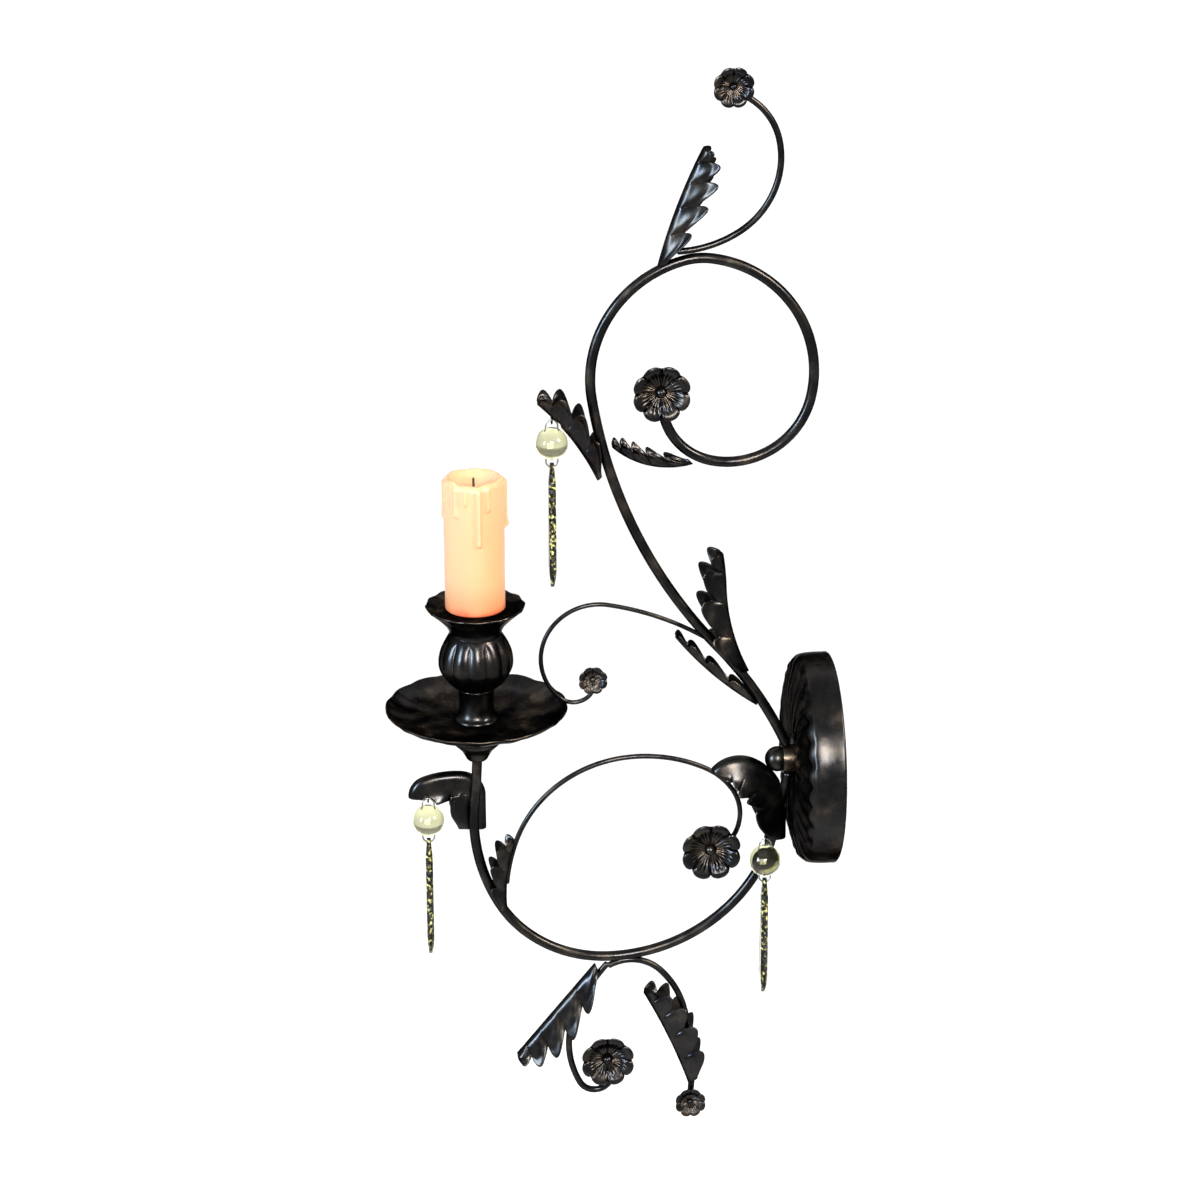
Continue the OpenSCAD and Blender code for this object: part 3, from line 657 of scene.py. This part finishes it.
# ------------------------------------------------------------------ wall plate
def wall_plate_piece():
    """Pressed plate: plain band, then round flutes that run in to the hub, with a rolled wall edge."""
    half = PLATE_D / 2
    outer = [(half - 0.9, 0), (half - 0.15, 0.9), (half - 0.15, 3), (0.996 * half, 0.55 * BAND_DEPTH),
             (0.982 * half, 0.84 * BAND_DEPTH), (0.955 * half, 0.965 * BAND_DEPTH),
             (0.92 * half, BAND_DEPTH + 0.8), (0.86 * half, BAND_DEPTH + 1.6),
             (0.76 * half, BAND_DEPTH + 0.7 * CREST_RISE), (0.66 * half, BAND_DEPTH + 0.93 * CREST_RISE),
             (0.56 * half, BAND_DEPTH + CREST_RISE), (0.42 * half, BAND_DEPTH + 0.9 * CREST_RISE),
             (0.3 * half, BAND_DEPTH + 3.8), (0.22 * half, BAND_DEPTH + 3.1), (0.06 * half, BAND_DEPTH + 3)]
    profile = spline(outer, 7)
    samples = FLUTES * 12
    points = []
    for inner in (False, True):
        for r, depth in (reversed(profile) if inner else profile):
            share = r / half
            flute = smooth(share, 0.16, 0.4) * (1 - smooth(share, 0.9, 0.975)) * smooth(depth, 15, 21)
            for k in range(samples):
                angle = 2 * math.pi * k / samples
                wave = abs(math.cos(math.pi * FLUTES * k / samples)) ** 1.2
                shoulder = smooth(share, 0.85, 0.93) * (1 - smooth(share, 0.955, 0.99))
                scallop = 0.7 * shoulder * smooth(depth, 15, 20)
                y = depth + 1.9 * flute * (wave - 0.62)
                rr = r - scallop * (1 - wave)
                if inner:
                    y = max(0.05, depth - 1.6 * SHEET - 1.2 * flute)
                    rr = max(0.055 * half, r - 1.2 * SHEET * smooth(share, 0.8, 0.97))
                points.append((rr * math.sin(angle), -max(0, y), rr * math.cos(angle)))
    faces = grid_faces(2 * len(profile), samples, wrap_rows=True)
    obj = mesh_object("wall_plate_pressed", points, faces, IRON)
    tidy(obj)
    place(obj, "root", "wall_plate")


# ------------------------------------------------------------------ candle holder
def corner_radius(corners, angle, strength):
    """How far a polygon's edge is from its centre at an angle, as a share of its corners' distance. With a
    strength over 1 the sides are hollow."""
    step = 2 * math.pi / corners
    near = (angle + step / 2) % step - step / 2
    edge = math.cos(step / 2) / math.cos(abs(near) - step / 2)
    return 1 - strength * (1 - edge)


def tray_piece(axis):
    """Drip tray with a many-sided, softly hammered rim."""
    low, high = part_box("drip_tray")
    wall = 1.2
    z0 = low[2] / MM
    rise = (high[2] - low[2]) / MM - wall
    reach = (high[0] - low[0]) / 2 / MM
    dish = [(LOOSE_BORE, 0), (14, 0), (22, 0.03), (30, 0.08), (38, 0.15), (43, 0.22), (47, 0.32),
            (50, 0.45), (52.5, 0.6), (54.5, 0.75), (56, 0.88), (57.1, 1)]
    upper = [(r, z0 + wall + rise * height) for r, height in dish]
    lower = [(r - 0.2 if r > 50 else r, z - wall) for r, z in upper]
    profile = spline(lower, 3) + [(57.7, z0 + rise + 0.6)] + spline(upper[::-1], 3)

    def shape(r, z, angle):
        share = smooth(r, 20, 55)
        factor = 1 + share * (corner_radius(TRAY_CORNERS, angle - math.pi / TRAY_CORNERS, 1.4) - 1)
        dent = 0.35 * noise.noise(Vector((r * 0.09 * math.cos(angle), r * 0.09 * math.sin(angle), 3.1)))
        crease = 0.45 * share * math.cos(TRAY_CORNERS * angle + math.pi)
        return min(r * factor, reach), min(z0 + rise + wall, max(z0, z + share * (dent + crease)))

    obj = revolve("drip_tray_pressed", axis, profile, IRON, 192, shape)
    place(obj, "root", "drip_tray")


def bulb_piece(axis):
    """Melon bulb with round lobes."""
    low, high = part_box("melon_bulb")
    z0 = low[2] / MM
    height = (high[2] - low[2]) / MM
    radius = (high[1] - low[1]) / 2 / MM
    rings = [(0.50, 0), (0.56, 0.02), (0.66, 0.07), (0.80, 0.16), (0.92, 0.27), (0.985, 0.38), (1, 0.48),
             (0.985, 0.60), (0.94, 0.72), (0.86, 0.84), (0.78, 0.93), (0.72, 0.985), (0.70, 1)]
    outer = spline([(radius * r, z0 + height * h) for r, h in rings], 5)
    profile = [(LOOSE_BORE, z0)] + outer + [(LOOSE_BORE, z0 + height)]

    def shape(r, z, angle):
        share = (z - z0) / height
        swell = smooth(share, 0.02, 0.25) * (1 - smooth(share, 0.82, 1))
        lobe = abs(math.cos(BULB_LOBES / 2 * angle)) ** 0.75
        return (r * (1 - 0.075 * swell * (1 - lobe)) if r > 3 else r), z

    obj = revolve("melon_bulb_fluted", axis, profile, IRON, 240, shape)
    place(obj, "root", "melon_bulb")


def ferrule_piece(axis):
    """Turned sleeve under the bulb, with a flared foot."""
    low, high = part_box("ferrule")
    z0, z1 = low[2] / MM, high[2] / MM
    side = spline([(14.4, z0 + 0.4), (13.9, z0 + 1.6), (12.2, z0 + 3.2), (11.2, z0 + 5.6), (10.7, z0 + 9),
                   (10.6, z0 + 14), (10.9, z0 + 18), (11.5, z1 - 0.4)], 5)
    profile = [(LOOSE_BORE, z0), (14, z0)] + side + [(11.3, z1), (LOOSE_BORE, z1)]
    obj = revolve("ferrule_turned", axis, profile, IRON, 96)
    place(obj, "root", "ferrule")


def cup_piece(axis):
    """Flared candle cup with a many-cornered rim."""
    low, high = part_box("candle_cup")
    z0, z1 = low[2] / MM, high[2] / MM
    reach = (high[0] - low[0]) / 2 / MM
    floor = CANDLE_LOW[2] / MM - 0.2
    outside = spline([(16.4, z0 + 0.2), (16.2, z0 + 1.6), (16.8, z0 + 3.6), (18.5, z0 + 6.4),
                      (21.3, z0 + 9.6), (24.8, z0 + 13), (28.2, z0 + 15.9), (30.6, z0 + 17.6),
                      (31.2, z0 + 18.4)], 5)
    inside = spline([(30.8, z1 - 0.1), (29.6, z1 - 0.6), (27, floor + 0.9), (24.5, floor + 0.25),
                     (22.5, floor)], 5)
    profile = [(BOLT_BORE, z0), (15.8, z0)] + outside + inside + [(12, floor), (BOLT_BORE, floor)]

    def shape(r, z, angle):
        share = smooth(r, 20, 31)
        factor = 1 + share * (corner_radius(CUP_CORNERS, angle - math.pi / CUP_CORNERS, 1.3) - 1)
        wave = 0.3 * share * math.cos(CUP_CORNERS * angle + math.pi) * smooth(z, z0 + 12, z1)
        return min(r * factor, reach), min(z + wave, z1)

    obj = revolve("candle_cup_flared", axis, profile, IRON, 196, shape)
    place(obj, "root", "candle_cup")


def arm_cup_piece(axis):
    """Turned cup between the arm's end and the tray."""
    low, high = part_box("arm_cup")
    z0, z1 = low[2] / MM, high[2] / MM
    side = spline([(4.2, z0 + 0.1), (5.6, z0 + 0.4), (6.8, z0 + 1.7), (8, z0 + 4), (9.8, z0 + 7),
                   (12.6, z0 + 10), (14.5, z0 + 12), (14.9, z0 + 14), (14.5, z0 + 16.5), (13.5, z0 + 19),
                   (13.1, z0 + 21.8), (13.9, z0 + 23.6), (14.1, z1)], 5)
    arm_socket = [(0, z0 + 7.9), (3.25, z0 + 7.9), (3.25, z0)]
    bolt_socket = [(BOLT_BORE, z1), (BOLT_BORE, z0 + 10), (0, z0 + 10)]
    profile = arm_socket + side + bolt_socket
    obj = revolve("arm_cup_turned", axis, profile, IRON, 96, closed=False)
    place(obj, "root", "arm_cup")


# Runs of wax: (angle round the candle, height of its lower end, half width in degrees, thickness).
DRIPS = [(6, 46, 6, 2.3), (24, 68, 8, 1.0), (92, 52, 10, 2.0), (118, 61, 8, 1.3), (150, 70, 10, 1.0),
         (182, 50, 8, 1.4), (226, 64, 8, 1.1), (262, 58, 8, 1.1), (286, 70, 7, 0.9), (320, 64, 9, 1.3),
         (340, 72, 7, 1.0)]


def drip_height(angle, z):
    """How far wax stands out at an angle, in degrees, and height above the candle's foot."""
    total = 0
    for centre, low, width, thick in DRIPS:
        off = abs((angle - centre + 180) % 360 - 180)
        bulge = 1 + 0.35 * math.exp(-((z - low - 2.2) / 2.4) ** 2)
        along_run = smooth(z, low - 1.6, low + 1.2)
        total = max(total, thick * along_run * bulge * math.exp(-(off / (width * 0.62)) ** 2))
    return total


def candle_piece(axis):
    """Pillar candle with a melted bowl, a scalloped lip and runs of wax down its side."""
    base = CANDLE_LOW[2] / MM
    radius = CANDLE_R
    top = CANDLE_TALL
    samples = 240
    levels = 150
    profile = [("bore", 0, 20), ("bore", 2.5, 18), ("bore", 2.5, 0), ("bore", radius - 0.7, 0),
               ("side", radius, 0.7)]
    profile += [("side", radius, 1.2 + (top - 4) * k / levels) for k in range(levels + 1)]
    profile += [("lip", radius - 0.5, top - 1.6), ("lip", radius - 1.4, top - 0.5),
                ("lip", radius - 2.6, top), ("lip", radius - 3.9, top - 0.3),
                ("bowl", radius - 5.1, top - 1.6), ("bowl", radius - 6.4, top - 3.4),
                ("bowl", radius - 8.4, top - 5), ("bowl", radius - 11.5, top - 6),
                ("bowl", 3.5, top - 6.3), ("bowl", 1.2, top - 6.2), ("bowl", 0, top - 6.2)]
    points = []
    for kind, r, z in profile:
        for k in range(samples):
            angle = 360 * k / samples
            t = math.radians(angle)
            rr, zz = r, z
            if kind in ("side", "lip"):
                rr += drip_height(angle, min(z, top - 6)) * (1 if kind == "side" else 0.45)
                rr += 0.18 * noise.noise(Vector((1.6 * math.cos(t), 1.6 * math.sin(t), z * 0.05)))
                rr = min(rr, 21.5)
            if kind in ("lip", "bowl") or z > top - 8:
                dip = 2.0 * math.exp(-(((angle - 4 + 180) % 360 - 180) / 16) ** 2)
                wave = 0.8 * noise.noise(Vector((2.2 * math.cos(t), 2.2 * math.sin(t), 0.4)))
                wave += 0.35 * math.cos(5 * t)
                fade = smooth(r, 6, 14) if kind == "bowl" else 1
                zz += (wave - dip) * smooth(z, top - 8, top - 2) * fade
            points.append((axis[0] + rr * math.cos(t), axis[1] + rr * math.sin(t), base + zz))
    obj = mesh_object("candle_wax", points, grid_faces(len(profile), samples), WAX)
    tidy(obj)
    place(obj, "candle_set", "candle")


def wick_piece(axis):
    """Charred, slightly bent wick."""
    low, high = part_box("wick")
    z0, z1 = low[2] / MM, high[2] / MM - 3.5
    rings = 26
    sides = 16
    points = []
    for i in range(rings + 1):
        t = i / rings
        z = z0 + (z1 - z0) * t
        lean = 0.55 * smooth(t, 0.6, 1)
        for k in range(sides):
            a = 2 * math.pi * k / sides
            r = (0.72 + 0.1 * math.cos(3 * a + 9 * t)) * (1 - 0.55 * smooth(t, 0.85, 1))
            points.append((axis[0] + lean + r * math.cos(a), axis[1] - 0.4 * lean + r * math.sin(a), z))
    faces = grid_faces(rings + 1, sides)
    faces += [tuple(range(sides))[::-1], tuple(range(rings * sides, (rings + 1) * sides))]
    obj = mesh_object("wick_charred", points, faces, WICK)
    tidy(obj)
    place(obj, "candle_set", "wick")


# ------------------------------------------------------------------ glass pendants
def bead_piece(key):
    """Round bead with a small dimple at each pole."""
    x, y, z = bead_middle(key)
    low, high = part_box(key + "_bead")
    radius = (high[0] - low[0]) / 2 / MM
    profile = []
    for i in range(41):
        t = math.pi * i / 40
        r, h = radius * math.sin(t), -radius * math.cos(t)
        dimple = 0.35 * math.exp(-(r / 1.6) ** 2)
        profile.append((max(0, r), z + h - math.copysign(dimple, h)))
    obj = revolve(key + "_bead_glass", (x, y), profile, GLASS, 64, closed=False)
    place(obj, key + "_bead_hang", key + "_bead")


def drop_piece(key):
    """Flat cut-glass drop: bevelled broad faces, notched edges and a pointed end. Its sides and notched
    edges carry painted shade with painted glints.
    """
    low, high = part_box(key + "_drop")
    x, y, _ = middle(key + "_drop")
    top, bottom = high[2] / MM, low[2] / MM
    wide = (high[0] - low[0]) / 2 / MM
    thick = (high[1] - low[1]) / 2 / MM
    length = top - bottom
    cuts = 13
    stations = [(0, 1.2), (0.8, 2.1), (2.2, 2.6)]
    for i in range(cuts):
        for part, depth in ((0, 0), (0.3, 0), (0.62, 0.9)):
            down = 4 + (length - 18) * (i + part) / cuts
            grow = 2.6 + (wide - 2.6) * smooth(down, 3, length - 12) ** 0.8
            stations.append((down, grow - depth * (0.6 + 0.4 * down / length)))
    stations += [(length - 12, wide), (length - 7, wide * 0.97), (length - 3.5, wide * 0.7),
                 (length - 1.2, wide * 0.36), (length, 0.7)]
    points = []
    for down, half in stations:
        t = thick * (0.5 + 0.35 * smooth(down, 1, 14)) * (1 - 0.5 * smooth(down, length - 12, length))
        section = [(half, 0.34 * t), (0.62 * half, t), (-0.62 * half, t), (-half, 0.34 * t),
                   (-half, -0.34 * t), (-0.62 * half, -t), (0.62 * half, -t), (half, -0.34 * t)]
        points += [(x + sx, y + sy, top - down) for sx, sy in section]
    count = len(stations)
    sides = len(section)
    faces = grid_faces(count, sides)
    faces += [tuple(range(sides))[::-1], tuple(range((count - 1) * sides, count * sides))]
    obj = mesh_object(key + "_drop_cut", points, faces, GLASS, flat=True)
    obj.data.materials.append(PAINTED_EDGE_SHADE)
    tidy(obj)
    # Side faces and notched edges take the painted shade and painted glints instead of clear glass.
    for face in obj.data.polygons:
        if abs(face.normal.y) < 0.93:
            face.material_index = 1
    cut(obj, bar_cutter((x, y - 6, top - 2.4), (x, y + 6, top - 2.4), DROP_HOLE, 20))
    place(obj, key + "_drop_hang", key + "_drop")


# ------------------------------------------------------------------ the pieces
for rod_name, rod in RODS.items():
    rod_piece(rod_name, rod)
for leaf_name, leaf in LEAVES.items():
    leaf_piece(leaf_name, leaf)
for flower_name, (rod_name, radius) in FLOWERS.items():
    flower_piece(flower_name, rod_name, radius)
wall_plate_piece()

cup_low, cup_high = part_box("arm_cup")
STACK_AXIS = [(cup_low[k] + cup_high[k]) / 2 / MM for k in (0, 1)]
for make in (arm_cup_piece, tray_piece, ferrule_piece, bulb_piece, cup_piece, candle_piece, wick_piece):
    make(STACK_AXIS)
for pendant in ("ring", "stem", "wall"):
    bead_piece(pendant)
    drop_piece(pendant)

# The CAD's own nodes that show as they are.
for node, material in (("mounting_bar", ZINC), ("plate_stud", ZINC), ("lock_nut", ZINC),
                       ("pricket_bolt", ZINC), ("arm_hub", IRON), ("ball_nut", IRON),
                       ("flower_rivets", IRON), ("hanging_eyes", IRON), ("ring_bead_wires", WIRE),
                       ("stem_bead_wires", WIRE), ("wall_bead_wires", WIRE)):
    for material_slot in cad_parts[node].material_slots:
        material_slot.material = material


# ------------------------------------------------------------------ floor, light and camera
def look_from(obj, target, azimuth, elevation, distance):
    """Puts a light or the camera at a distance from target, facing it. Azimuth 0 faces the wall."""
    a, e = math.radians(azimuth), math.radians(elevation)
    away = Vector((math.sin(a) * math.cos(e), -math.cos(a) * math.cos(e), math.sin(e)))
    obj.location = target + away * distance
    obj.rotation_mode = "QUATERNION"
    obj.rotation_quaternion = away.to_track_quat("Z", "Y")


def area_light(name, target, azimuth, elevation, distance, size, power, colour, spread_angle):
    """A soft panel light that looks at target."""
    data = bpy.data.lights.new(name, "AREA")
    data.shape = "RECTANGLE"
    data.size, data.size_y = size
    data.energy = power
    data.spread = math.radians(spread_angle)
    data.color = colour
    obj = bpy.data.objects.new(name, data)
    bpy.context.scene.collection.objects.link(obj)
    look_from(obj, target, azimuth, elevation, distance)


def light_from_above():
    """Pale surroundings that are brighter overhead than at the sides."""
    world = bpy.data.worlds.new("pale_surroundings")
    bpy.context.scene.world = world
    world.use_nodes = True
    nodes, links = world.node_tree.nodes, world.node_tree.links
    height = nodes.new("ShaderNodeSeparateXYZ")
    links.new(nodes.new("ShaderNodeTexCoord").outputs["Generated"], height.inputs["Vector"])
    rise = nodes.new("ShaderNodeMapRange")
    rise.interpolation_type = "SMOOTHSTEP"
    links.new(height.outputs["Z"], rise.inputs["Value"])
    for key, value in (("From Min", 0.25), ("From Max", 0.85), ("To Min", 0.35), ("To Max", 0.6)):
        rise.inputs[key].default_value = value
    background = nodes["Background"]
    background.inputs["Color"].default_value = (0.97, 0.98, 1.0, 1)
    links.new(rise.outputs["Result"], background.inputs["Strength"])


def floor_sheet(ground):
    """A wide plain floor at a height, in metres."""
    reach = 30.0
    steps = 24
    points = [((i / steps - 0.5) * 2 * reach / MM, (j / steps - 0.5) * 2 * reach / MM, ground / MM)
              for i in range(steps + 1) for j in range(steps + 1)]
    faces = grid_faces(steps + 1, steps + 1, wrap_columns=False)
    mesh_object("floor", points, faces, floor_material())


def set_camera(centre):
    """A long lens on the side of +X, a little above the sconce."""
    data = bpy.data.cameras.new("camera")
    data.lens = 110
    data.sensor_width = 36
    data.clip_end = 100
    eye = bpy.data.objects.new("camera", data)
    bpy.context.scene.collection.objects.link(eye)
    look_from(eye, centre + Vector((0, -0.0062, 0.014)), 84.4, 21.4, 2.248)
    bpy.context.scene.camera = eye


def set_stage():
    """Pale floor, three soft lights on the sconce, one on the floor behind it, and the camera."""
    low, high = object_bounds()
    centre = (low + high) / 2
    floor_sheet(low[2] - 0.35)
    light_from_above()
    area_light("front", centre, 88, 26, 2.8, (0.7, 0.7), 10, (1.0, 0.96, 0.92), 50)
    area_light("cool_side", centre, 28, 16, 2.4, (0.4, 1.0), 9, (0.60, 0.78, 1.0), 50)
    area_light("warm_side", centre, 146, 34, 2.2, (0.4, 0.8), 6, (1.0, 0.88, 0.75), 50)
    behind = centre + Vector((-4.5, 0, 0))
    area_light("background", behind, 0, 90, 3.0, (5.0, 8.0), 150, (1.0, 1.0, 1.0), 140)
    set_camera(centre)
    bpy.context.scene.view_settings.view_transform = "Standard"
    bpy.context.scene.view_settings.look = "None"


set_stage()
